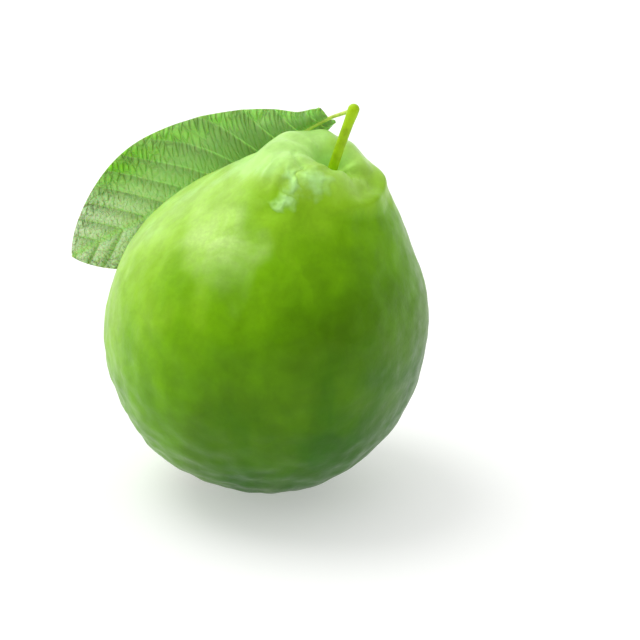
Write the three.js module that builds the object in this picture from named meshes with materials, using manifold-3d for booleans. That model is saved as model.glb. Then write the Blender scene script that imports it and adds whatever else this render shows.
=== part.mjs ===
// A whole guava as picked, on its stem and with one leaf, in millimetres and +Z up.
// The fruit leans to the right (+X) and a little forward (-Y) on a small flat spot at the origin.
// Four pieces: the fruit, the dry calyx in its blossom end, the stem in its pit, and the leaf behind it.
import * as THREE from "three";
import { mergeVertices } from "three/addons/utils/BufferGeometryUtils.js";
import Module from "manifold-3d";

const wasm = await Module();
wasm.setup();

const { degToRad, lerp, smoothstep } = THREE.MathUtils;

// Driving sizes of the fruit
const BODY_RADIUS = 42;
const FRUIT_TOP = 56.9; // from the body's centre to the crest round the stem pit
const FLAT_SPOT_DEPTH = 0.5; // how much of the round underside the flat spot takes away
const LEAN_RIGHT = degToRad(14);
const LEAN_FORWARD = degToRad(8.5);

// How far the two ends of the fruit bend off its straight axis
const NECK_BEND = degToRad(2.75);
const BLOSSOM_BEND = degToRad(8);

// The stem pit and the blossom basin
const PIT_FLOOR = 50.2;
const PIT_OFFSET = 3.2;
const PIT_PINCH = 0.3; // the share by which the pit is narrower from front to back
const PIT_GAP_DEPTH = 4.2; // how much lower the rim is where the pit opens to the right
const PIT_GAP_TURN = degToRad(-15);
const LEFT_DIP = 2.4; // how far the left shoulder falls short of the outline
const RIGHT_RISE = 1.3; // how far the right shoulder stands out beyond it
const CREST_RADIUS = 9.5;
const BASIN_FLOOR = 38.2;
const BASIN_EDGE_ANGLE = degToRad(13.5);

// The stem and the leaf
const STEM_RADIUS = 1.35;
const STEM_SINK = 3; // how deep the stem sits in the fruit below the pit's floor
const PETIOLE_RADIUS = 0.75;
const LEAF_HALF_WIDTH = 19.6;
const LEAF_THICKNESS = 0.8;
const CLEARANCE = 0.3;

const AXIS_Y = new THREE.Vector3(0, 1, 0);
const BODY_CENTRE = new THREE.Vector3(0, 0, BODY_RADIUS - FLAT_SPOT_DEPTH);

// The frame of the fruit: its origin is the body's centre and its z axis runs towards the stem.
const leaning = new THREE.Group();
leaning.position.copy(BODY_CENTRE);
leaning.rotation.set(LEAN_FORWARD, LEAN_RIGHT, 0, "YXZ");
leaning.updateMatrixWorld(true);

// Conversions between three.js geometry and solids

function solidFrom(geometry) {
  const bare = geometry.clone();
  bare.deleteAttribute("normal");
  bare.deleteAttribute("uv");
  const merged = mergeVertices(bare, 1e-4);
  return new wasm.Manifold(
    new wasm.Mesh({
      numProp: 3,
      vertProperties: merged.attributes.position.array,
      triVerts: new Uint32Array(merged.index.array),
    }),
  );
}

function geometryFrom(solid) {
  const made = solid.getMesh();
  return new THREE.BufferGeometry()
    .setAttribute("position", new THREE.BufferAttribute(made.vertProperties, 3))
    .setIndex(new THREE.BufferAttribute(made.triVerts, 1))
    .toNonIndexed();
}

// Turns the diagonals of a box's last side, so that its two broad sides are split into triangles alike.
function matchDiagonals(box) {
  const { start, count } = box.groups[5];
  const corners = box.index.array;
  for (let i = start; i < start + count; i += 6) {
    const [a, b, d, , c] = corners.slice(i, i + 6);
    corners.set([a, b, c, a, c, d], i);
  }
  return box;
}

function moveEach(geometry, move) {
  const places = geometry.attributes.position;
  const point = new THREE.Vector3();
  for (let i = 0; i < places.count; i++) {
    point.fromBufferAttribute(places, i);
    move(point);
    places.setXYZ(i, point.x, point.y, point.z);
  }
  return geometry;
}

// The fruit

// Half of the fruit's outline, as (radius, height) from the blossom basin's floor up to the stem pit's floor.
function fruitOutline() {
  const curve = (...points) => new THREE.CubicBezierCurve(...points.map((p) => new THREE.Vector2(...p)));
  const edge = [
    BODY_RADIUS * Math.sin(BASIN_EDGE_ANGLE),
    -BODY_RADIUS * Math.cos(BASIN_EDGE_ANGLE),
  ];
  const basin = curve([0, -BASIN_FLOOR], [7, -BASIN_FLOOR], [7, -41.6], edge);
  const belly = new THREE.EllipseCurve(
    0, 0, BODY_RADIUS, BODY_RADIUS, BASIN_EDGE_ANGLE - Math.PI / 2, 0,
  );
  const shoulder = curve([BODY_RADIUS, 0], [BODY_RADIUS, 24], [34.7, 30.4], [19.5, 46.2]);
  const neck = curve([19.5, 46.2], [16.6, 49.2], [15.5, FRUIT_TOP], [CREST_RADIUS, FRUIT_TOP]);
  const pit = curve([CREST_RADIUS, FRUIT_TOP], [4.6, FRUIT_TOP], [4.6, PIT_FLOOR], [0, PIT_FLOOR]);
  const stretches = [[basin, 6], [belly, 13], [shoulder, 13], [neck, 6], [pit, 6]];
  return stretches.flatMap(([stretch, steps], i) => {
    const points = stretch.getPoints(steps);
    return i ? points.slice(1) : points;
  });
}

// How far the skin stands out at a point: low swellings on the body, a flatter left shoulder, a fuller right
// one, and lobes round the stem pit, whose rim is open to the right.
function skinRelief(point) {
  const turn = Math.atan2(point.y, point.x);
  const radius = Math.hypot(point.x, point.y);
  const offAxis = smoothstep(radius, 1.5, 9);
  const belly = smoothstep(point.z, -41, -25) * (1 - smoothstep(point.z, 30, 48));
  const swelling =
    0.45 * Math.cos(2 * turn + 0.6 + 0.02 * point.z) +
    0.3 * Math.cos(5 * turn - 1.1 + 0.03 * point.z) +
    0.14 * Math.cos(9 * turn + 2.0);
  const top = smoothstep(point.z, 28, 54);
  const lobes =
    0.85 * Math.cos(turn - 0.36) +
    0.25 * Math.cos(3 * turn - 5.76) +
    0.2 * Math.cos(5 * turn - 1) +
    0.25 * Math.cos(9 * turn + 3.93);
  const openSide = ((1 + Math.cos(turn - PIT_GAP_TURN)) / 2) ** 6;
  const gap = PIT_GAP_DEPTH * openSide * smoothstep(point.z, 50, 56);
  const onLeft = smoothstep(point.z, 8, 32) * (1 - smoothstep(point.z, 32, 50));
  const dip = LEFT_DIP * onLeft * Math.max(0, -Math.cos(turn)) ** 2;
  const onRight = smoothstep(point.z, 30, 47) * (1 - smoothstep(point.z, 50, 57));
  const rise = RIGHT_RISE * onRight * Math.max(0, Math.cos(turn - 0.35)) ** 3;
  return offAxis * (belly * swelling + top * lobes - gap) - dip + rise;
}

// Sets the pit off centre and pinches it from front to back, then bends the neck to the right and the blossom
// end to the left about the body's centre.
function bendEnds(point) {
  const inPit = (1 - smoothstep(Math.hypot(point.x, point.y), 2, 15)) * smoothstep(point.z, 40, 50);
  point.x += PIT_OFFSET * inPit;
  point.y *= 1 - PIT_PINCH * inPit;
  const neck = NECK_BEND * smoothstep(point.z, 15, 50);
  const blossom = BLOSSOM_BEND * smoothstep(-point.z, 10, 37);
  return point.applyAxisAngle(AXIS_Y, neck + blossom);
}

const FRUIT_SEGMENTS = 54;

function makeFruit(stemHole) {
  const skin = new THREE.LatheGeometry(fruitOutline(), FRUIT_SEGMENTS).rotateX(Math.PI / 2);
  moveEach(skin, (point) => {
    const reach = point.length();
    point.multiplyScalar((reach + skinRelief(point)) / reach);
    bendEnds(point);
  });
  skin.applyMatrix4(leaning.matrixWorld);
  const belowSurface = new THREE.BoxGeometry(80, 80, 20).translate(0, 0, -10);
  const solid = solidFrom(skin).subtract(solidFrom(belowSurface)).subtract(stemHole);
  return new THREE.Mesh(
    geometryFrom(solid),
    new THREE.MeshStandardMaterial({ color: 0x8cc63a, roughness: 0.4, metalness: 0 }),
  );
}

// The stem

const pitCentre = bendEnds(new THREE.Vector3(0, 0, PIT_FLOOR));
const stemFoot = pitCentre.applyMatrix4(leaning.matrixWorld);
const stemTop = new THREE.Vector3(23.3, -8, 106.3);
const stemDirection = stemTop.clone().sub(stemFoot).normalize();

// A round rod of changing radius along a curve, closed by a flat foot and a rounded head.
function rodAlong(path, radiusAt, sides, steps) {
  const section = new THREE.Shape().absarc(0, 0, 1, 0, 2 * Math.PI);
  const rod = new THREE.ExtrudeGeometry(section, {
    curveSegments: sides / 2,
    steps,
    extrudePath: path,
    bevelEnabled: false,
  });
  const centres = path.getSpacedPoints(steps);
  return moveEach(rod, (point) => {
    let nearest = 0;
    centres.forEach((centre, i) => {
      if (centre.distanceToSquared(point) < centres[nearest].distanceToSquared(point)) nearest = i;
    });
    const centre = centres[nearest];
    point.sub(centre).multiplyScalar(radiusAt(nearest / steps)).add(centre);
  });
}

function straightRod(from, to, radius, sides) {
  return rodAlong(new THREE.LineCurve3(from, to), () => radius, sides, 1);
}

function makeStem() {
  const foot = stemFoot.clone().addScaledVector(stemDirection, CLEARANCE - STEM_SINK);
  const bow = new THREE.Vector3(-0.4, -0.3, 0);
  const middle = foot.clone().lerp(stemTop, 0.5).add(bow);
  const path = new THREE.QuadraticBezierCurve3(foot, middle, stemTop);
  const radiusAt = (t) => STEM_RADIUS * (1 - 0.06 * Math.sin(Math.PI * t) + 0.12 * smoothstep(t, 0.8, 1));
  const rod = solidFrom(rodAlong(path, radiusAt, 16, 10));
  const head = new THREE.SphereGeometry(1.12 * STEM_RADIUS, 16, 10);
  head.translate(...stemTop.toArray());
  return new THREE.Mesh(
    geometryFrom(rod.add(solidFrom(head))),
    new THREE.MeshStandardMaterial({ color: 0x92b613, roughness: 0.45, metalness: 0 }),
  );
}

function stemHole() {
  const bottom = stemFoot.clone().addScaledVector(stemDirection, -STEM_SINK);
  const mouth = stemFoot.clone().addScaledVector(stemDirection, 2);
  return solidFrom(straightRod(bottom, mouth, STEM_RADIUS + CLEARANCE + 0.1, 16));
}

// The calyx: a dry disc in the basin with five curled sepals and a ring of withered stamens.

const SEPAL_COUNT = 5;
const STAMEN_COUNT = 30;
const CALYX_RADIUS = 4.6;
const CALYX_TOP = -BASIN_FLOOR - CLEARANCE - 0.1;

function calyxDisc() {
  const outline = [
    [0, -1.9], [2, -1.8], [3.8, -1.6], [CALYX_RADIUS, -1.3], [CALYX_RADIUS - 0.4, -0.8], [3, -0.3], [0, 0],
  ].map((p) => new THREE.Vector2(...p));
  return new THREE.LatheGeometry(outline, 20).rotateX(Math.PI / 2);
}

// One sepal points outwards from the disc and curls down, away from the fruit.
function sepal(index) {
  const length = 3.7 + 0.5 * Math.sin(2.3 * index);
  const blade = new THREE.BoxGeometry(length, 4, 0.7, 5, 2, 1).translate(length / 2, 0, 0);
  moveEach(matchDiagonals(blade), (point) => {
    const along = Math.max(0, point.x / length);
    point.y *= 1 - 0.82 * along ** 1.4;
    point.z -= along * along * (0.3 + 0.25 * Math.sin(1 + index)) - 0.05 * point.y * point.y;
  });
  blade.rotateY(degToRad(14 + 4 * Math.sin(1.7 * index)));
  blade.translate(CALYX_RADIUS - 1.8, 0, -1.1);
  return blade.rotateZ((2 * Math.PI * index) / SEPAL_COUNT + 0.15 * Math.sin(3 * index));
}

// One withered stamen leans inwards or outwards from a ring on the disc.
function stamen(index) {
  const turn = index * 2.4;
  const ring = 2.5 + 1.1 * Math.sin(7.3 * index);
  const height = 0.9 + 0.3 * Math.sin(5.1 * index);
  const thread = new THREE.ConeGeometry(0.32, height + 0.8, 4).rotateX(-Math.PI / 2);
  thread.rotateY(0.5 * Math.sin(3.7 * index));
  return thread.translate(ring, 0, -1.4 - height / 2).rotateZ(turn);
}

function makeCalyx() {
  let solid = solidFrom(calyxDisc());
  for (let i = 0; i < SEPAL_COUNT; i++) solid = solid.add(solidFrom(sepal(i)));
  for (let i = 0; i < STAMEN_COUNT; i++) solid = solid.add(solidFrom(stamen(i)));
  const calyx = new THREE.Mesh(
    geometryFrom(solid).translate(0, 0, CALYX_TOP),
    new THREE.MeshStandardMaterial({ color: 0x6b5640, roughness: 0.9, metalness: 0 }),
  );
  const blossomEnd = new THREE.Group();
  blossomEnd.rotation.y = BLOSSOM_BEND;
  blossomEnd.add(calyx);
  return { calyx, blossomEnd };
}

// The leaf: its midrib is a smooth curve from the stem's head back over the neck and down behind the body.

const MIDRIB = new THREE.CubicBezierCurve3(
  new THREE.Vector3(17, 4.8, 99.8),
  new THREE.Vector3(-0.8, 32.4, 80.8),
  new THREE.Vector3(-18.4, 44.6, 66.7),
  new THREE.Vector3(-53.1, 32, 51.7),
);
const FACING = new THREE.Vector3(0, -0.927, 0.375); // what the leaf's upper face looks towards
const WIDEST_AT = 0.635;

// Half of the blade's width at a share of its length: a rounded base, a long taper from it, and a blunt tip.
function halfWidth(along) {
  const toEnd = along < WIDEST_AT ? 1 - along / WIDEST_AT : (along - WIDEST_AT) / (1 - WIDEST_AT);
  const nearBase = lerp(0.4, lerp(0.52, 1.05, smoothstep(along, 0, 0.12)), smoothstep(along, 0, 0.03));
  const sharpness = along < WIDEST_AT ? nearBase : 0.77;
  return LEAF_HALF_WIDTH * Math.max(0, 1 - toEnd * toEnd) ** sharpness;
}

// The angle by which the blade's upper side leans forward, along and across it. side runs from -1 to 1.
function bladeLean(along, side) {
  const atMidrib = lerp(36, 8, smoothstep(along, 0.45, 0.95));
  const bend = lerp(32, 6, smoothstep(along, 0.5, 0.95));
  return degToRad(atMidrib - bend * side);
}

// A point of the blade, raised off its middle surface by lift. The lower side is narrow near the base and a
// little narrower towards the tip, and the upper side ends in a lobe at the base.
function bladePoint(along, side, lift) {
  const tangent = MIDRIB.getTangentAt(along);
  const up = new THREE.Vector3().crossVectors(tangent, FACING).normalize();
  const front = new THREE.Vector3().crossVectors(up, tangent);
  const lean = bladeLean(along, side);
  const meanLean = (lean + bladeLean(along, 0)) / 2;
  const lower = lerp(0.5, 1, smoothstep(along, 0, 0.16)) - 0.16 * smoothstep(along, 0.6, 0.85);
  const atBase = 1 - smoothstep(along, 0, 0.12);
  const reach = halfWidth(along) * side * (side < 0 ? lower : 1 - 0.22 * atBase);
  const lobe = 0.45 * atBase * Math.max(0, reach);
  const wave = 0.7 * Math.sin(17 * along + 1.2 * Math.sign(side)) * side * side;
  return MIDRIB.getPointAt(along)
    .addScaledVector(tangent, -lobe)
    .addScaledVector(up, reach * Math.cos(meanLean) - lift * Math.sin(lean))
    .addScaledVector(front, reach * Math.sin(meanLean) + wave + lift * Math.cos(lean));
}

const BLADE_STEPS = 30;
const BLADE_ROWS = 12;

function leafBlade() {
  const blade = new THREE.BoxGeometry(1, 2, 1, BLADE_STEPS, BLADE_ROWS, 1).translate(0.5, 0, 0);
  const tip = 0.002; // keeps the two ends of the blade a little wide
  return moveEach(matchDiagonals(blade), (point) => {
    const along = lerp(tip, 1 - tip, (1 - Math.cos(Math.PI * point.x)) / 2);
    point.copy(bladePoint(along, point.y, -point.z * LEAF_THICKNESS));
  });
}

function makeLeaf() {
  const start = stemTop.clone().add(new THREE.Vector3(-1.1, 1.6, -1.0));
  const stalkPath = new THREE.CatmullRomCurve3([
    start,
    start.clone().lerp(MIDRIB.getPointAt(0), 0.5).add(new THREE.Vector3(0, 0, 0.4)),
    ...[0, 0.2, 0.4, 0.6, 0.8, 0.96].map((along) => bladePoint(along, 0, -0.3 * LEAF_THICKNESS)),
  ]);
  const radiusAt = (t) => lerp(PETIOLE_RADIUS, 0.35, smoothstep(t, 0.1, 1));
  const midrib = solidFrom(rodAlong(stalkPath, radiusAt, 8, 28));
  return new THREE.Mesh(
    geometryFrom(solidFrom(leafBlade()).add(midrib)),
    new THREE.MeshStandardMaterial({ color: 0x6ca84c, roughness: 0.55, metalness: 0 }),
  );
}

// The guava

const fruit = makeFruit(stemHole());
const stem = makeStem();
const leaf = makeLeaf();
const { calyx, blossomEnd } = makeCalyx();
fruit.name = "fruit";
stem.name = "stem";
leaf.name = "leaf";
calyx.name = "calyx";
leaning.add(blossomEnd);

const guava = new THREE.Group();
guava.add(fruit, stem, leaf, leaning);

export default guava;
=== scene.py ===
# The looks of a whole guava on its stem, with one leaf behind it.
# The fruit, stem, leaf and calyx are finer pieces that keep the form and the place of the solids.
# Sizes are in millimetres, as named values, and become metres in the meshes.
import bisect
import math

import bmesh
import bpy
from mathutils import Matrix, Vector, noise
from mathutils.geometry import interpolate_bezier


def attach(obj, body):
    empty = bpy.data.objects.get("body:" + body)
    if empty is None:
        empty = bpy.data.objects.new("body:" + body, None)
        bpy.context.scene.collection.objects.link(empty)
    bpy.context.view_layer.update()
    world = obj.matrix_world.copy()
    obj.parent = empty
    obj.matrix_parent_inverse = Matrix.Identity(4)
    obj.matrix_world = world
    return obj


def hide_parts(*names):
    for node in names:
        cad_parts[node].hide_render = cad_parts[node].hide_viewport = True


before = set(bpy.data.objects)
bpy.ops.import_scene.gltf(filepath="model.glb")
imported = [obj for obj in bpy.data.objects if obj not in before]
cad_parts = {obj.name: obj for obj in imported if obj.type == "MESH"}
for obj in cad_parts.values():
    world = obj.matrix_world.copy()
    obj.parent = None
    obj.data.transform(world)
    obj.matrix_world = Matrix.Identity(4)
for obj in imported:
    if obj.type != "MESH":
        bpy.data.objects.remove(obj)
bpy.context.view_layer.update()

MM = 0.001

# Sizes of the fruit, the same as the solid's
BODY_RADIUS = 42
FRUIT_TOP = 56.9
FLAT_SPOT_DEPTH = 0.5
LEAN_RIGHT = math.radians(14)
LEAN_FORWARD = math.radians(8.5)
NECK_BEND = math.radians(2.75)
BLOSSOM_BEND = math.radians(8)
PIT_FLOOR = 50.2
PIT_OFFSET = 3.2
PIT_PINCH = 0.3
PIT_GAP_DEPTH = 4.2
PIT_GAP_TURN = math.radians(-15)
LEFT_DIP = 2.4
RIGHT_RISE = 1.3
CREST_RADIUS = 9.5
BASIN_FLOOR = 38.2
BASIN_EDGE_ANGLE = math.radians(13.5)

# Sizes of the stem and the leaf
STEM_RADIUS = 1.35
STEM_SINK = 3
LEAF_HALF_WIDTH = 19.6
CLEARANCE = 0.3

BODY_CENTRE = Vector((0, 0, BODY_RADIUS - FLAT_SPOT_DEPTH))
LEANING = (
    Matrix.Translation(BODY_CENTRE)
    @ Matrix.Rotation(LEAN_RIGHT, 4, "Y")
    @ Matrix.Rotation(LEAN_FORWARD, 4, "X")
)


def lerp(low, high, share):
    return low + (high - low) * share


def smoothstep(value, low, high):
    share = min(1.0, max(0.0, (value - low) / (high - low)))
    return share * share * (3 - 2 * share)


# The camera, the surroundings, the light and the floor

VIEW_ELEVATION = math.radians(22)
VIEW_DISTANCE = 0.700
VIEW_AIM = Vector((0.0148, 0.0015, 0.0452))
LENS = 149.07
SENSOR_WIDTH = 36
BRIGHT_SIDE = Vector((-0.3, 0.62, 0.72))
LIGHT_DIRECTION = Vector((0.42, -0.2, -0.88))


def add_camera():
    back = Vector((0, -math.cos(VIEW_ELEVATION), math.sin(VIEW_ELEVATION)))
    camera = bpy.data.objects.new("camera", bpy.data.cameras.new("camera"))
    camera.data.lens = LENS
    camera.data.sensor_width = SENSOR_WIDTH
    camera.data.clip_start = 0.01
    camera.data.clip_end = 50
    camera.location = VIEW_AIM + VIEW_DISTANCE * back
    camera.rotation_euler = (math.pi / 2 - VIEW_ELEVATION, 0, 0)
    bpy.context.scene.collection.objects.link(camera)
    bpy.context.scene.camera = camera


def add_room():
    """White surroundings: bright behind and above the fruit, dim on the camera's side."""
    world = bpy.data.worlds.new("studio")
    world.use_nodes = True
    nodes = world.node_tree.nodes
    links = world.node_tree.links
    coordinates = nodes.new("ShaderNodeTexCoord")
    towards_back = nodes.new("ShaderNodeVectorMath")
    towards_back.operation = "DOT_PRODUCT"
    towards_back.inputs[1].default_value = BRIGHT_SIDE
    brightness = nodes.new("ShaderNodeMapRange")
    for name, value in (("From Min", -0.5), ("From Max", 0.9), ("To Min", 0.2), ("To Max", 1.15)):
        brightness.inputs[name].default_value = value
    links.new(coordinates.outputs["Generated"], towards_back.inputs[0])
    links.new(towards_back.outputs["Value"], brightness.inputs["Value"])
    links.new(brightness.outputs["Result"], nodes["Background"].inputs["Strength"])
    nodes["Background"].inputs["Color"].default_value = (1, 1, 1, 1)
    bpy.context.scene.world = world


def add_light():
    sun = bpy.data.lights.new("overhead_light", "SUN")
    sun.energy = 1.2
    sun.angle = math.radians(36)
    holder = bpy.data.objects.new("overhead_light", sun)
    holder.rotation_euler = LIGHT_DIRECTION.to_track_quat("-Z", "Y").to_euler()
    bpy.context.scene.collection.objects.link(holder)
    bpy.context.scene.view_settings.view_transform = "Standard"


def add_floor():
    mesh = bmesh.new()
    bmesh.ops.create_grid(mesh, x_segments=1, y_segments=1, size=6)
    floor = finished_piece("floor", mesh, floor_paint())


# Building pieces


def finished_piece(name, mesh, *materials):
    """Turns a bmesh into a smooth-shaded object at the origin."""
    data = bpy.data.meshes.new(name)
    mesh.to_mesh(data)
    mesh.free()
    for material in materials:
        data.materials.append(material)
    data.shade_smooth()
    piece = bpy.data.objects.new(name, data)
    bpy.context.scene.collection.objects.link(piece)
    return piece


def add_piece(piece, node):
    """The piece stands for the solid of that name and rides with it."""
    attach(piece, "root")
    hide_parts(node)


def turn_outwards(mesh):
    bmesh.ops.remove_doubles(mesh, verts=mesh.verts, dist=1e-4)
    bmesh.ops.recalc_face_normals(mesh, faces=mesh.faces)


def spin_outline(mesh, outline, steps):
    """Turns an open line of (radius, height) points once round the upright axis."""
    verts = [mesh.verts.new((radius, 0, height)) for radius, height in outline]
    edges = [mesh.edges.new(pair) for pair in zip(verts, verts[1:])]
    bmesh.ops.spin(
        mesh,
        geom=verts + edges,
        cent=(0, 0, 0),
        axis=(0, 0, 1),
        angle=2 * math.pi,
        steps=steps,
        use_merge=True,
    )
    turn_outwards(mesh)


# Building materials


class Paint:
    """A material's node tree, with short ways to add and join its nodes."""

    def __init__(self, name):
        self.material = bpy.data.materials.new(name)
        self.material.use_nodes = True
        self.nodes = self.material.node_tree.nodes
        self.links = self.material.node_tree.links
        self.shader = self.nodes["Principled BSDF"]

    def node(self, kind, settings=None, **values):
        made = self.nodes.new("ShaderNode" + kind)
        for key, value in (settings or {}).items():
            setattr(made, key, value)
        for key, value in values.items():
            self.put(made.inputs[key.replace("_", " ")], value)
        return made

    def put(self, socket, value):
        if isinstance(value, bpy.types.NodeSocket):
            self.links.new(value, socket)
        else:
            socket.default_value = value

    def set(self, **values):
        for key, value in values.items():
            self.put(self.shader.inputs[key.replace("_", " ")], value)

    def place(self):
        return self.node("TexCoord").outputs["Object"]

    def attribute(self, name):
        return self.node("Attribute", {"attribute_name": name}).outputs["Fac"]

    def math(self, operation, *values):
        made = self.node("Math", {"operation": operation})
        for socket, value in zip(made.inputs, values):
            self.put(socket, value)
        return made.outputs[0]

    def noise(self, where, scale, detail=3, roughness=0.5, distortion=0):
        values = {"Scale": scale, "Detail": detail, "Roughness": roughness, "Distortion": distortion}
        return self.node("TexNoise", Vector=where, **values).outputs["Fac"]

    def vector_math(self, operation, *values, result="Vector"):
        made = self.node("VectorMath", {"operation": operation})
        for socket, value in zip(made.inputs, values):
            self.put(socket, value)
        return made.outputs[result]

    def ramp(self, share, *stops):
        """A colour that runs through the stops, each a place from 0 to 1 and its colour."""
        made = self.node("ValToRGB", Fac=share)
        elements = made.color_ramp.elements
        elements.remove(elements[1])
        elements[0].color = stops[0][1]
        for place, tint in stops[1:]:
            elements.new(place).color = tint
        return made.outputs["Color"]

    def range(self, value, low, high, to_low=0, to_high=1):
        made = self.node("MapRange", {"interpolation_type": "SMOOTHSTEP"})
        for socket, number in zip(made.inputs, (value, low, high, to_low, to_high)):
            self.put(socket, number)
        return made.outputs[0]

    def mix(self, share, first, second):
        made = self.node("Mix", {"data_type": "RGBA"})
        self.put(made.inputs[0], share)
        self.put(made.inputs[6], first)
        self.put(made.inputs[7], second)
        return made.outputs[2]

    def bump(self, height, distance, strength=1, under=None):
        made = self.node("Bump", Height=height, Distance=distance, Strength=strength)
        if under is not None:
            self.put(made.inputs["Normal"], under)
        return made.outputs["Normal"]


def colour(red, green, blue):
    """A colour from its 0 to 255 screen values, in the renderer's linear ones."""

    def linear(value):
        return ((value / 255 + 0.055) / 1.055) ** 2.4 if value > 10 else value / 3295

    return (linear(red), linear(green), linear(blue), 1)


def scaled(tint, factor, added=0):
    """The colour made lighter or darker, short of white."""
    return tuple(min(0.95, factor * value + added) for value in tint[:3]) + (1,)


def floor_paint():
    """A white table that glows faintly, so that it stays bright under the fruit."""
    paint = Paint("pale_floor")
    paint.set(Base_Color=colour(210, 211, 209), Roughness=0.7, Specular_IOR_Level=0.2)
    paint.set(Emission_Color=(1, 1, 1, 1), Emission_Strength=0.4)
    return paint.material


# Directions from the middle of the fruit: its paler half, which is partly its own colour and partly painted
# light and shade, and its two ends
PALE_AND_LIT_SIDE = Vector((-0.59, 0.5, 0.82))
NECK_SIDE = Vector((0.24, 0.15, 0.96))
BLOSSOM_SIDE = LEANING.to_3x3() @ Matrix.Rotation(BLOSSOM_BEND, 3, "Y") @ Vector((0, 0, -1))

# Painted highlight patches, a broad one on the cheek and small glints on the puffs round the stem pit: where
# each middle is, seen from the fruit's, its reach, and how much narrower it is each way
PAINTED_HIGHLIGHT_CHEEK = (Vector((-8.4, -22.3, 34.4)), 20, (1.4, 1, 1))
PAINTED_GLINT_PATCHES = (
    (Vector((7.4, -20.5, 50.6)), 5, (1.8, 1, 0.8)),
    (Vector((13.6, -21.2, 50.6)), 5.8, (1, 1, 1.1)),
    (Vector((5.6, -22.7, 45.4)), 3.8, (1, 1, 1.2)),
)

# The tone runs from about -1, the deepest green, to 1.2, the palest. This takes it to the ramp's 0 to 1.
TONE_SHARE = 0.455


def fruit_paint():
    """Pale yellow-green round the neck, with mottles and specks. The paler upper side and the deep green
    below are partly the fruit's own colour and partly painted light and shade. A painted highlight lies on
    the cheek, and painted glints on the puffs round the stem pit.
    """
    paint = Paint("guava_skin")
    place = paint.place()
    from_centre = paint.vector_math("SUBTRACT", place, BODY_CENTRE * MM)

    def towards(direction):
        """1 on the body's skin straight in that direction, -1 on the other side."""
        direction = direction / (BODY_RADIUS * MM)
        return paint.vector_math("DOT_PRODUCT", from_centre, direction, result="Value")

    streaked = paint.vector_math("MULTIPLY", place, (1, 1, 0.4))
    # The tone grows paler towards the lit side and deeper below: partly the fruit's own colour, partly
    # painted light and shade.
    tone = paint.math("ADD", towards(PALE_AND_LIT_SIDE), paint.range(towards(NECK_SIDE), 0.95, 1.15, 0, 0.4))
    for pattern, scale, strength in ((place, 62, 0.8), (streaked, 85, 0.7)):
        cloud = paint.noise(pattern, scale, 2.5, 0.5, 0.5)
        tone = paint.math("MULTIPLY_ADD", cloud, strength, paint.math("ADD", tone, -strength / 2))
    skin = paint.ramp(
        paint.math("MULTIPLY_ADD", tone, TONE_SHARE, TONE_SHARE),
        (0, colour(42, 96, 2)),
        (0.2, colour(75, 120, 4)),
        (0.37, colour(94, 148, 4)),
        (0.55, colour(118, 176, 8)),
        (0.72, colour(144, 196, 36)),
        (0.82, colour(158, 206, 64)),
        (0.92, colour(168, 214, 88)),
        (1, colour(182, 230, 126)),
    )
    mottle = paint.noise(place, 130, 4, 0.6, 0.4)
    # Painted highlight: a pale, mottled patch on the cheek where the overhead light's sheen falls.
    painted_highlight = patch(paint, scattered(paint, from_centre, 100, 20), *PAINTED_HIGHLIGHT_CHEEK)
    painted_highlight = paint.math("MULTIPLY", painted_highlight, paint.range(mottle, 0.3, 0.6, 0.4, 0.85))
    skin = paint.mix(painted_highlight, skin, colour(206, 242, 144))
    # Painted glints: pale mottled patches on the puffs round the stem pit, also raised a little by bump.
    ragged = scattered(paint, from_centre, 330, 7)
    glint_patches = 0
    for place_and_size in PAINTED_GLINT_PATCHES:
        glint_patches = paint.math("MAXIMUM", glint_patches, patch(paint, ragged, *place_and_size))
    mottled_glints = paint.math("MULTIPLY", glint_patches, paint.range(mottle, 0.3, 0.6, 0.65, 1))
    skin = paint.mix(mottled_glints, skin, colour(192, 244, 152))
    blossom_end = paint.range(towards(BLOSSOM_SIDE), 0.93, 0.985, 0, 0.7)
    skin = paint.mix(blossom_end, skin, colour(112, 104, 50))
    shade = paint.range(mottle, 0.3, 0.7, 1.1, 0.9)
    fleck = paint.range(paint.noise(place, 900, 3, 0.65), 0.25, 0.75, -0.07, 0.07)
    fleck = paint.math("MULTIPLY", fleck, paint.math("ADD", painted_highlight, 0.5))
    brightness = paint.math("ADD", shade, fleck)
    skin = paint.node("HueSaturation", Color=skin, Value=brightness).outputs["Color"]
    relief = paint.bump(glint_patches, 0.0009, 0.6)
    relief = paint.bump(paint.noise(place, 190, 3, 0.5), 0.0003, 0.4, relief)
    relief = paint.bump(paint.noise(place, 760, 3, 0.6), 0.00005, 0.6, relief)
    gloss = paint.range(paint.noise(place, 320, 4, 0.6), 0.3, 0.75, 0.32, 0.46)
    paint.set(Base_Color=skin, Roughness=gloss, Normal=relief, Specular_IOR_Level=0.5)
    paint.set(Specular_Tint=(0.55, 1, 0.15, 1))
    paint.set(Subsurface_Weight=0.06, Subsurface_Scale=0.003)
    paint.shader.inputs["Subsurface Radius"].default_value = (0.6, 1, 0.3)
    return paint.material


def scattered(paint, place, scale, reach):
    """The place moved about by a noise, by up to half the reach, which makes the edge of a patch ragged."""
    drift = paint.node("TexNoise", Vector=place, Scale=scale, Detail=1.5).outputs["Color"]
    drift = paint.vector_math("SUBTRACT", drift, (0.5, 0.5, 0.5))
    drift = paint.vector_math("MULTIPLY", drift, (reach * MM, reach * MM, reach * MM))
    return paint.vector_math("ADD", place, drift)


def patch(paint, place, middle, reach, narrowing):
    """How much a place lies on a patch of the skin, with soft edges."""
    offset = paint.vector_math("SUBTRACT", place, middle * MM)
    offset = paint.vector_math("MULTIPLY", offset, narrowing)
    distance = paint.vector_math("LENGTH", offset, result="Value")
    return paint.range(distance, 0.05 * reach * MM, reach * MM, 1, 0)


# The fruit

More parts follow.
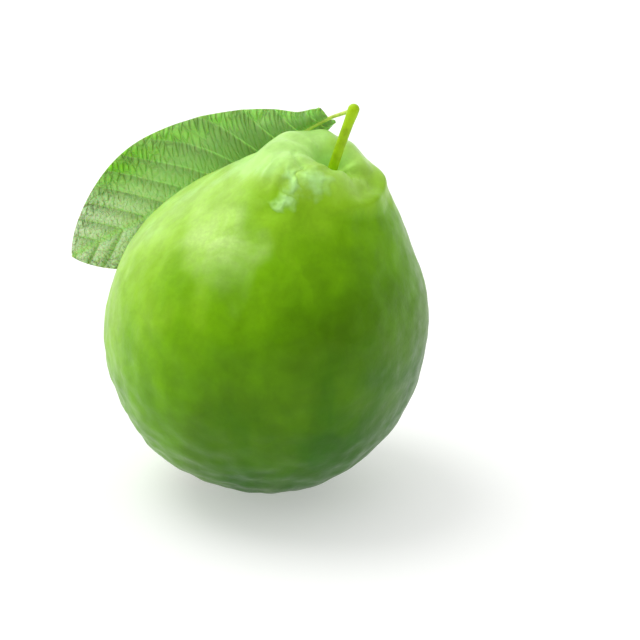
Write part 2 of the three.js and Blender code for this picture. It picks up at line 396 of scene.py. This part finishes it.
TURN_STEPS = 320
PLEAT_DEPTH = 0.06
WRINKLE_DEPTH = 0.25
FOLD_DEPTH = 0.7
FOLD_WIDTH = 0.5


def bezier(count, *corners):
    points = [Vector((*corner, 0)) for corner in corners]
    return interpolate_bezier(*points, count + 1)


def fruit_outline():
    """Half of the fruit's outline as (radius, height), from the basin's floor to the stem pit's floor."""
    edge = (BODY_RADIUS * math.sin(BASIN_EDGE_ANGLE), -BODY_RADIUS * math.cos(BASIN_EDGE_ANGLE))
    belly_steps = 90
    start = BASIN_EDGE_ANGLE - math.pi / 2
    turns = [start * (1 - step / belly_steps) for step in range(belly_steps + 1)]
    stretches = [
        bezier(24, (0, -BASIN_FLOOR), (7, -BASIN_FLOOR), (7, -41.6), edge),
        [Vector((BODY_RADIUS * math.cos(turn), BODY_RADIUS * math.sin(turn), 0)) for turn in turns],
        bezier(70, (BODY_RADIUS, 0), (BODY_RADIUS, 24), (34.7, 30.4), (19.5, 46.2)),
        bezier(40, (19.5, 46.2), (16.6, 49.2), (15.5, FRUIT_TOP), (CREST_RADIUS, FRUIT_TOP)),
        bezier(40, (CREST_RADIUS, FRUIT_TOP), (4.6, FRUIT_TOP), (4.6, PIT_FLOOR), (0, PIT_FLOOR)),
    ]
    points = stretches[0]
    for stretch in stretches[1:]:
        points = points + stretch[1:]
    return [(point.x, point.y) for point in points]


def skin_relief(point):
    """How far the skin stands out: low swellings, a flatter left shoulder, a fuller right one, and lobes
    round the stem pit, whose rim is open to the right."""
    turn = math.atan2(point.y, point.x)
    radius = math.hypot(point.x, point.y)
    off_axis = smoothstep(radius, 1.5, 9)
    belly = smoothstep(point.z, -41, -25) * (1 - smoothstep(point.z, 30, 48))
    swelling = (
        0.45 * math.cos(2 * turn + 0.6 + 0.02 * point.z)
        + 0.3 * math.cos(5 * turn - 1.1 + 0.03 * point.z)
        + 0.14 * math.cos(9 * turn + 2.0)
    )
    top = smoothstep(point.z, 28, 54)
    lobes = (
        0.85 * math.cos(turn - 0.36)
        + 0.25 * math.cos(3 * turn - 5.76)
        + 0.2 * math.cos(5 * turn - 1)
        + 0.25 * math.cos(9 * turn + 3.93)
    )
    open_side = ((1 + math.cos(turn - PIT_GAP_TURN)) / 2) ** 6
    gap = PIT_GAP_DEPTH * open_side * smoothstep(point.z, 50, 56)
    on_left = smoothstep(point.z, 8, 32) * (1 - smoothstep(point.z, 32, 50))
    dip = LEFT_DIP * on_left * max(0, -math.cos(turn)) ** 2
    on_right = smoothstep(point.z, 30, 47) * (1 - smoothstep(point.z, 50, 57))
    rise = RIGHT_RISE * on_right * max(0, math.cos(turn - 0.35)) ** 3
    return off_axis * (belly * swelling + top * lobes - gap) - dip + rise


def fine_relief(point):
    """The small unevenness that the solid leaves out, kept below its surface: shallow dents, pleats down
    the neck, wrinkles on the outer slope of the rim, and one fold that runs round the rim's left front."""
    turn = math.atan2(point.y, point.x)
    radius = math.hypot(point.x, point.y)
    rim = smoothstep(point.z, 40, 50) * smoothstep(radius, 3, 10)
    pleats = math.sin(13 * turn + 0.12 * point.z + 2 * noise.noise(point / 8)) - 1
    outer_slope = smoothstep(point.z, 48.5, 51) * (1 - smoothstep(point.z, 53, 56))
    wrinkled = outer_slope * max(0, math.cos(turn + 2.3)) ** 6
    wrinkles = math.sin(24 * turn + 0.25 * point.z + 3 * noise.noise(point / 5)) - 1
    off_fold = (radius - 9.5 - 2.6 * (turn + 2.94)) / FOLD_WIDTH
    left_front = smoothstep(turn, -3.1, -2.8) * (1 - smoothstep(turn, -2.1, -1.8))
    fold = math.exp(-off_fold * off_fold) * left_front
    low = smoothstep(-point.z, -5, 25)
    uneven = (0.2 + 0.3 * low) * (noise.noise(point / 5) - 0.6) + 0.08 * (noise.noise(point / 2.6) - 0.6)
    on_rim = PLEAT_DEPTH * pleats + WRINKLE_DEPTH * wrinkled * wrinkles - FOLD_DEPTH * fold
    return uneven + rim * on_rim


def bend_ends(point):
    """Sets the pit off centre and pinches it, then bends the neck and the blossom end."""
    in_pit = (1 - smoothstep(math.hypot(point.x, point.y), 2, 15)) * smoothstep(point.z, 40, 50)
    point.x += PIT_OFFSET * in_pit
    point.y *= 1 - PIT_PINCH * in_pit
    neck = NECK_BEND * smoothstep(point.z, 15, 50)
    blossom = BLOSSOM_BEND * smoothstep(-point.z, 10, 37)
    return Matrix.Rotation(neck + blossom, 3, "Y") @ point


def add_fruit():
    mesh = bmesh.new()
    spin_outline(mesh, fruit_outline(), TURN_STEPS)
    for vert in mesh.verts:
        point = vert.co.copy()
        reach = point.length
        point *= (reach + skin_relief(point) + fine_relief(point)) / reach
        point = LEANING @ bend_ends(point)
        point.z = max(point.z, 0)
        vert.co = point * MM
    add_piece(finished_piece("fruit_skin", mesh, fruit_paint()), "fruit")


# The leaf

MIDRIB_CORNERS = ((17, 4.8, 99.8), (-0.8, 32.4, 80.8), (-18.4, 44.6, 66.7), (-53.1, 32, 51.7))
FACING = Vector((0, -0.927, 0.375))
WIDEST_AT = 0.635
BLADE_STEPS = 340
BLADE_ROWS = 110

# The visible blade is thinner than the solid one, and its middle lies a little behind the solid's.
VISIBLE_THICKNESS = 0.5
SET_BACK = 0.1


class Midrib:
    """The midrib's curve, read by the share of its length."""

    def __init__(self):
        self.points = interpolate_bezier(*[Vector(corner) for corner in MIDRIB_CORNERS], 401)
        self.lengths = [0.0]
        for before, after in zip(self.points, self.points[1:]):
            self.lengths.append(self.lengths[-1] + (after - before).length)

    def span(self, along):
        """The stretch that holds the point at that share of the length, and where in it the point is."""
        goal = along * self.lengths[-1]
        index = min(max(bisect.bisect_right(self.lengths, goal) - 1, 0), len(self.points) - 2)
        share = (goal - self.lengths[index]) / (self.lengths[index + 1] - self.lengths[index])
        return index, share

    def at(self, along):
        index, share = self.span(along)
        return self.points[index].lerp(self.points[index + 1], share)

    def tangent(self, along):
        index, share = self.span(along)
        first = max(index - 1, 0)
        last = min(index + 2, len(self.points) - 1)
        before = self.points[index] - self.points[first] if index else self.points[1] - self.points[0]
        after = self.points[last] - self.points[index]
        return before.lerp(after, 0.5 + 0.5 * share).normalized()


MIDRIB = Midrib()
LEAF_LENGTH = MIDRIB.lengths[-1]


def half_width(along):
    """Half of the blade's width: a rounded base, a long taper from it, and a blunt tip."""
    if along < WIDEST_AT:
        to_end = 1 - along / WIDEST_AT
        sharpness = lerp(0.4, lerp(0.52, 1.05, smoothstep(along, 0, 0.12)), smoothstep(along, 0, 0.03))
    else:
        to_end = (along - WIDEST_AT) / (1 - WIDEST_AT)
        sharpness = 0.77
    return LEAF_HALF_WIDTH * max(0, 1 - to_end * to_end) ** sharpness


def blade_lean(along, side):
    """The angle by which the blade's upper side leans forward, along and across it."""
    at_midrib = lerp(36, 8, smoothstep(along, 0.45, 0.95))
    bend = lerp(32, 6, smoothstep(along, 0.5, 0.95))
    return math.radians(at_midrib - bend * side)


def blade_point(along, side, lift):
    """A point of the blade, raised off its middle surface by lift. The lower side is narrow near the base
    and a little narrower towards the tip, and the upper side has a lobe at the base."""
    tangent = MIDRIB.tangent(along)
    up = tangent.cross(FACING).normalized()
    front = up.cross(tangent)
    lean = blade_lean(along, side)
    mean_lean = (lean + blade_lean(along, 0)) / 2
    lower = lerp(0.5, 1, smoothstep(along, 0, 0.16)) - 0.16 * smoothstep(along, 0.6, 0.85)
    at_base = 1 - smoothstep(along, 0, 0.12)
    reach = half_width(along) * side * (lower if side < 0 else 1 - 0.22 * at_base)
    lobe = 0.45 * at_base * max(0, reach)
    wave = 0.7 * math.sin(17 * along + 1.2 * (side > 0) - 1.2 * (side < 0)) * side * side
    return (
        MIDRIB.at(along)
        - tangent * lobe
        + up * (reach * math.cos(mean_lean) - lift * math.sin(lean))
        + front * (reach * math.sin(mean_lean) + wave + lift * math.cos(lean))
    )


# The side veins leave the midrib at these shares of its length: FIRST + STEP * n - CLOSER * n * n.
FIRST_VEIN = 0.05
VEIN_STEP = 0.099
VEIN_CLOSER = 0.0013

# Short creases cross the tissue between two veins: how close they stand, and how many rows of them there are.
RUNGS_PER_MM = 0.6
CELLS_PER_VEIN = 1.7

# Widths, heights and depths of the blade's relief
VEIN_WIDTH = 0.32
MIDRIB_WIDTH = 0.8
SWELLING_HEIGHT = 0.35
BASE_FOLD_HEIGHT = 0.5
VEIN_DEPTH = 0.2
MIDRIB_DEPTH = 0.25
CREASE_DEPTH = 0.12


def vein_number(along, side):
    """Which side vein a point of the blade lies on: a whole number on a vein, a fraction between two."""
    reach = abs(side)
    slope = lerp(0.15, 1, smoothstep(along, 0.3, 0.72))
    root = along - half_width(along) / LEAF_LENGTH * (slope * reach + 0.2 * reach * reach)
    inside = VEIN_STEP * VEIN_STEP - 4 * VEIN_CLOSER * (root - FIRST_VEIN)
    return (VEIN_STEP - math.sqrt(inside)) / (2 * VEIN_CLOSER)


def blade_relief(along, side):
    """How far the tissue swells between the side veins, with the values that the leaf's paint reads."""
    number = vein_number(along, side)
    past_vein = number - math.floor(number)
    off_vein = abs(number - round(number))
    spacing = (VEIN_STEP - 2 * VEIN_CLOSER * number) * LEAF_LENGTH
    reach = abs(side) * half_width(along)
    vein = math.exp(-((off_vein * spacing / VEIN_WIDTH) ** 2)) * smoothstep(reach, 0, 0.6)
    midline = math.exp(-((reach / MIDRIB_WIDTH) ** 2))
    rung = RUNGS_PER_MM * (0.87 * along * LEAF_LENGTH + 0.48 * reach)
    cell = Vector((rung, number * CELLS_PER_VEIN, 3 * (side > 0)))
    near, second = noise.voronoi(cell)[0][:2]
    crease = (1 - smoothstep(second - near, 0, 0.25)) * smoothstep(reach, 2.5, 9)
    swelling = smoothstep(past_vein, 0, 0.3) * (1 - smoothstep(past_vein, 0.75, 1))
    swelling *= smoothstep(reach, 0.3, 2.5)
    fold = math.exp(-(((along - 0.085 + 0.02 * side) / 0.016) ** 2)) * smoothstep(side, 0.1, 0.5)
    height = SWELLING_HEIGHT * swelling + BASE_FOLD_HEIGHT * fold
    height -= VEIN_DEPTH * vein + MIDRIB_DEPTH * midline + CREASE_DEPTH * crease
    return height, {"rung": rung, "number": number, "vein": max(vein, midline), "margin": abs(side)}


def add_leaf():
    mesh = bmesh.new()
    bmesh.ops.create_grid(mesh, x_segments=BLADE_STEPS, y_segments=BLADE_ROWS, size=1)
    layers = {name: mesh.verts.layers.float.new(name) for name in ("rung", "number", "vein", "margin")}
    tip = 0.002
    for vert in mesh.verts:
        share = (vert.co.x + 1) / 2
        along = lerp(tip, 1 - tip, share - 0.3 * math.sin(2 * math.pi * share) / (2 * math.pi))
        side = vert.co.y
        height, values = blade_relief(along, side)
        for name, value in values.items():
            vert[layers[name]] = value
        to_margin = min(half_width(along) * (1 - abs(side)), along * LEAF_LENGTH / 2)
        fade = smoothstep(to_margin, 0, 1.2)
        vert.co = blade_point(along, side, VISIBLE_THICKNESS / 2 + height * fade - SET_BACK) * MM
    bmesh.ops.reverse_faces(mesh, faces=mesh.faces)
    upper = leaf_paint("leaf_upper", colour(172, 228, 132), colour(136, 226, 34), colour(216, 250, 196))
    under = leaf_paint("leaf_under", colour(166, 208, 132), colour(158, 206, 118), colour(174, 212, 142))
    blade = finished_piece("leaf_blade", mesh, upper, under)
    wall = blade.modifiers.new("thickness", "SOLIDIFY")
    wall.thickness = VISIBLE_THICKNESS * MM
    wall.offset = -1
    wall.material_offset = 1
    add_piece(blade, "leaf")


def sweep(mesh, path, radius_at, sides):
    """A round rod along a path, with both ends closed."""
    upwards = Vector((0, 0, 1))
    heading = upwards.rotation_difference(path[1] - path[0])
    ring_before = None
    for index, centre in enumerate(path):
        ahead = path[min(index + 1, len(path) - 1)] - path[max(index - 1, 0)]
        heading = (heading @ upwards).rotation_difference(ahead) @ heading
        place = Matrix.Translation(centre) @ heading.to_matrix().to_4x4()
        radius = radius_at(index / (len(path) - 1))
        made = bmesh.ops.create_circle(mesh, cap_ends=False, radius=radius, segments=sides, matrix=place)
        ring = list({edge for vert in made["verts"] for edge in vert.link_edges})
        if ring_before:
            bmesh.ops.bridge_loops(mesh, edges=ring_before + ring)
        else:
            first = ring
        ring_before = ring
    for ring in (first, ring_before):
        bmesh.ops.contextual_create(mesh, geom=ring)


# The stalk and the midrib are one rod, which sinks into the blade at this share of the leaf's length.
MIDRIB_SHOWS_TO = 0.65
STALK_RADIUS = 0.525
MIDRIB_END_RADIUS = 0.25


def add_leaf_stalk():
    start = STEM_TOP + Vector((-1.1, 1.6, -1.0))
    blade_start = blade_point(0.002, 0, 0)
    ahead = blade_point(0.03, 0, 0) - blade_start
    path = interpolate_bezier(start, start.lerp(blade_start, 0.4), blade_start - ahead, blade_start, 24)
    steps = 70
    path += [blade_point(MIDRIB_SHOWS_TO * step / steps, 0, -0.05) for step in range(2, steps + 1)]

    def radius_at(share):
        return MM * lerp(STALK_RADIUS, MIDRIB_END_RADIUS, share)

    mesh = bmesh.new()
    sweep(mesh, [point * MM for point in path], radius_at, 16)
    turn_outwards(mesh)
    stalk = finished_piece("leaf_stalk", mesh, stem_paint("leaf_stalk", colour(214, 236, 104)))
    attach(stalk, "root")


def leaf_paint(name, middle, margin, tip):
    """Tissue with pale veins, painted shade just past each side vein and in short creases beyond it, more
    vivid towards the margin, painted shade by the midrib near the base, and paler with a fine net at the tip,
    whose lines carry painted shade too."""
    paint = Paint(name)
    place = paint.place()
    number = paint.attribute("number")
    outer = paint.range(paint.attribute("margin"), 0.35, 0.9)
    near_tip = paint.range(number, 5.5, 9)
    near_base = paint.range(number, 2, 7, 1, 0)
    cloud = paint.noise(place, 140, 3, 0.5)
    blade = paint.mix(paint.range(cloud, 0.3, 0.7), middle, scaled(middle, 1.12))
    blade = paint.mix(paint.math("MULTIPLY_ADD", near_base, -0.6, outer), blade, margin)
    # Painted shade by the midrib near the base, beside the fruit.
    painted_base_shade = paint.math("MULTIPLY", near_base, paint.range(outer, 0, 1, 0.8, 0.05))
    blade = paint.mix(painted_base_shade, blade, scaled(middle, 0.5))
    blade = paint.mix(near_tip, blade, tip)
    past_vein = paint.range(paint.math("FRACT", number), 0.03, 0.7, 1, 0)
    # Painted shade just past each side vein, on its tip side, fading towards the next vein.
    blade = paint.mix(paint.math("MULTIPLY", past_vein, 0.55), blade, scaled(middle, 0.6))
    across = paint.math("MULTIPLY", number, CELLS_PER_VEIN)
    cells = paint.node("CombineXYZ", X=paint.attribute("rung"), Y=across)
    ladder = paint.node(
        "TexVoronoi",
        {"feature": "DISTANCE_TO_EDGE", "voronoi_dimensions": "2D"},
        Vector=cells.outputs[0],
        Scale=1,
        Randomness=1,
    ).outputs["Distance"]
    crease = paint.range(ladder, 0, 0.11, 1, 0)
    broken = paint.range(paint.noise(place, 420, 2, 0.5), 0.35, 0.6, 0.1, 0.62)
    off_midrib = paint.range(paint.attribute("margin"), 0.15, 0.6)
    showing = paint.math("MULTIPLY", paint.math("MAXIMUM", past_vein, outer), broken)
    showing = paint.math("MULTIPLY", showing, off_midrib)
    # Painted shade in the short creases and, at the tip, in the fine net.
    crease_shade = scaled(middle, 0.35)
    blade = paint.mix(paint.math("MULTIPLY", crease, showing), blade, crease_shade)
    pale = paint.math("MULTIPLY", paint.attribute("vein"), paint.range(outer, 0, 1, 0.8, 0.4))
    blade = paint.mix(pale, blade, scaled(middle, 1.2, 0.03))
    net = paint.node("TexVoronoi", {"feature": "DISTANCE_TO_EDGE"}, Vector=place, Scale=820)
    net = net.outputs["Distance"]
    netted = paint.math("MULTIPLY", near_tip, broken)
    netted = paint.math("MULTIPLY", paint.range(net, 0, 0.06, 0.5, 0), netted)
    blade = paint.mix(netted, blade, crease_shade)
    net_depth = paint.math("MULTIPLY_ADD", near_tip, 0.0003, 0.00008)
    relief = paint.bump(paint.range(net, 0, 0.2), net_depth, 0.6)
    ladder_depth = paint.math("MULTIPLY_ADD", outer, 0.0004, 0.0002)
    relief = paint.bump(paint.range(ladder, 0, 0.3), ladder_depth, 1, relief)
    paint.set(Base_Color=blade, Roughness=0.5, Normal=relief, Specular_IOR_Level=0.15)
    paint.set(Subsurface_Weight=0.2, Subsurface_Scale=0.002)
    return paint.material


# The stem

STEM_TOP = Vector((23.3, -8, 106.3))


def add_stem():
    stem_foot = LEANING @ bend_ends(Vector((0, 0, PIT_FLOOR)))
    direction = (STEM_TOP - stem_foot).normalized()
    foot = stem_foot + direction * (CLEARANCE - STEM_SINK)
    middle = foot.lerp(STEM_TOP, 0.5) + Vector((-0.4, -0.3, 0))
    steps = 60
    path = []
    for step in range(steps + 1):
        share = step / steps
        path.append(foot.lerp(middle, share).lerp(middle.lerp(STEM_TOP, share), share))

    def radius_at(share):
        waist = 0.06 * math.sin(math.pi * share)
        return STEM_RADIUS * MM * (1 - waist + 0.12 * smoothstep(share, 0.8, 1))

    mesh = bmesh.new()
    sweep(mesh, [point * MM for point in path], radius_at, 28)
    bmesh.ops.create_uvsphere(
        mesh,
        u_segments=28,
        v_segments=16,
        radius=1.1 * STEM_RADIUS * MM,
        matrix=Matrix.Translation(STEM_TOP * MM),
    )
    turn_outwards(mesh)
    stem = finished_piece("stem", mesh, stem_paint("stem_green", colour(176, 218, 14)))
    add_piece(stem, "stem")


def stem_paint(name, base):
    """Green bark with darker blotches."""
    paint = Paint(name)
    place = paint.place()
    blotch = paint.noise(place, 260, 3, 0.6, 0.4)
    bark = paint.mix(paint.range(blotch, 0.35, 0.75), base, scaled(base, 0.72))
    relief = paint.bump(paint.noise(place, 900, 3, 0.6), 0.00008, 0.5)
    paint.set(Base_Color=bark, Roughness=0.45, Normal=relief, Specular_IOR_Level=0.2)
    return paint.material


# The calyx: a dry disc in the blossom end with curled sepals and withered stamens

SEPAL_COUNT = 5
STAMEN_COUNT = 44
CALYX_RADIUS = 4.6
CALYX_OUTLINE = (
    (0, 0),
    (3, -0.3),
    (CALYX_RADIUS - 0.4, -0.8),
    (CALYX_RADIUS, -1.3),
    (3.8, -1.6),
    (2, -1.8),
    (0, -1.9),
)
CALYX_DEPTH = BASIN_FLOOR + CLEARANCE + 0.1
CALYX_PLACE = (
    LEANING
    @ Matrix.Rotation(BLOSSOM_BEND, 4, "Y")
    @ Matrix.Translation((0, 0, -CALYX_DEPTH))
)
SEPAL_THICKNESS = 0.4


def turned(angle, axis):
    return Matrix.Rotation(angle, 4, axis)


def add_sepal(mesh, index):
    """A sepal points outwards from the disc and curls away from the fruit, with a wavy, uneven blade."""
    length = 3.6 + 0.5 * math.sin(2.3 * index)
    place = (
        turned(2 * math.pi * index / SEPAL_COUNT + 0.15 * math.sin(3 * index), "Z")
        @ Matrix.Translation((CALYX_RADIUS - 1.8, 0, -1.1))
        @ turned(math.radians(14 + 4 * math.sin(1.7 * index)), "Y")
    )
    made = bmesh.ops.create_grid(mesh, x_segments=26, y_segments=18, size=1)["verts"]
    faces = list({face for vert in made for face in vert.link_faces})
    for vert in made:
        along = (vert.co.x + 1) / 2
        across = 1.9 * vert.co.y * (1 - 0.82 * along**1.4)
        droop = along * along * (0.3 + 0.25 * math.sin(1 + index)) - 0.05 * across * across
        grain = 0.1 * noise.noise(Vector((1.5 * along, 3.5 * across, index)))
        vert.co = place @ Vector((length * along, across, 0.2 - droop + grain))
    bmesh.ops.recalc_face_normals(mesh, faces=faces)
    bmesh.ops.solidify(mesh, geom=faces, thickness=SEPAL_THICKNESS)


def add_stamen(mesh, index):
    """A withered stamen leans inwards or outwards from a ring on the disc."""
    ring = 2.5 + 1.1 * math.sin(7.3 * index)
    height = 0.9 + 0.3 * math.sin(5.1 * index)
    place = (
        turned(2.4 * index, "Z")
        @ Matrix.Translation((ring, 0, -1.4 - height / 2))
        @ turned(0.5 * math.sin(3.7 * index), "Y")
    )
    bmesh.ops.create_cone(
        mesh, cap_ends=True, segments=8, radius1=0.08, radius2=0.24, depth=height + 0.7, matrix=place
    )


def add_calyx():
    mesh = bmesh.new()
    spin_outline(mesh, CALYX_OUTLINE, 64)
    for index in range(SEPAL_COUNT):
        add_sepal(mesh, index)
    for index in range(STAMEN_COUNT):
        add_stamen(mesh, index)
    mesh.transform(Matrix.Scale(MM, 4) @ CALYX_PLACE)
    bmesh.ops.recalc_face_normals(mesh, faces=mesh.faces)
    add_piece(finished_piece("dry_calyx", mesh, calyx_paint()), "calyx")


def calyx_paint():
    """Dry brown tissue with a coarse grain and green stains."""
    paint = Paint("dry_brown")
    place = paint.place()
    grain = paint.noise(place, 900, 4, 0.6, 0.5)
    stain = paint.noise(place, 260, 3, 0.5)
    brown = paint.mix(paint.range(grain, 0.35, 0.65), colour(70, 52, 34), colour(146, 118, 84))
    brown = paint.mix(paint.range(stain, 0.45, 0.7), brown, colour(98, 96, 52))
    paint.set(Base_Color=brown, Roughness=0.85, Normal=paint.bump(grain, 0.00012), Specular_IOR_Level=0.3)
    return paint.material


add_camera()
add_room()
add_light()
add_floor()
add_fruit()
add_stem()
add_leaf()
add_leaf_stalk()
add_calyx()
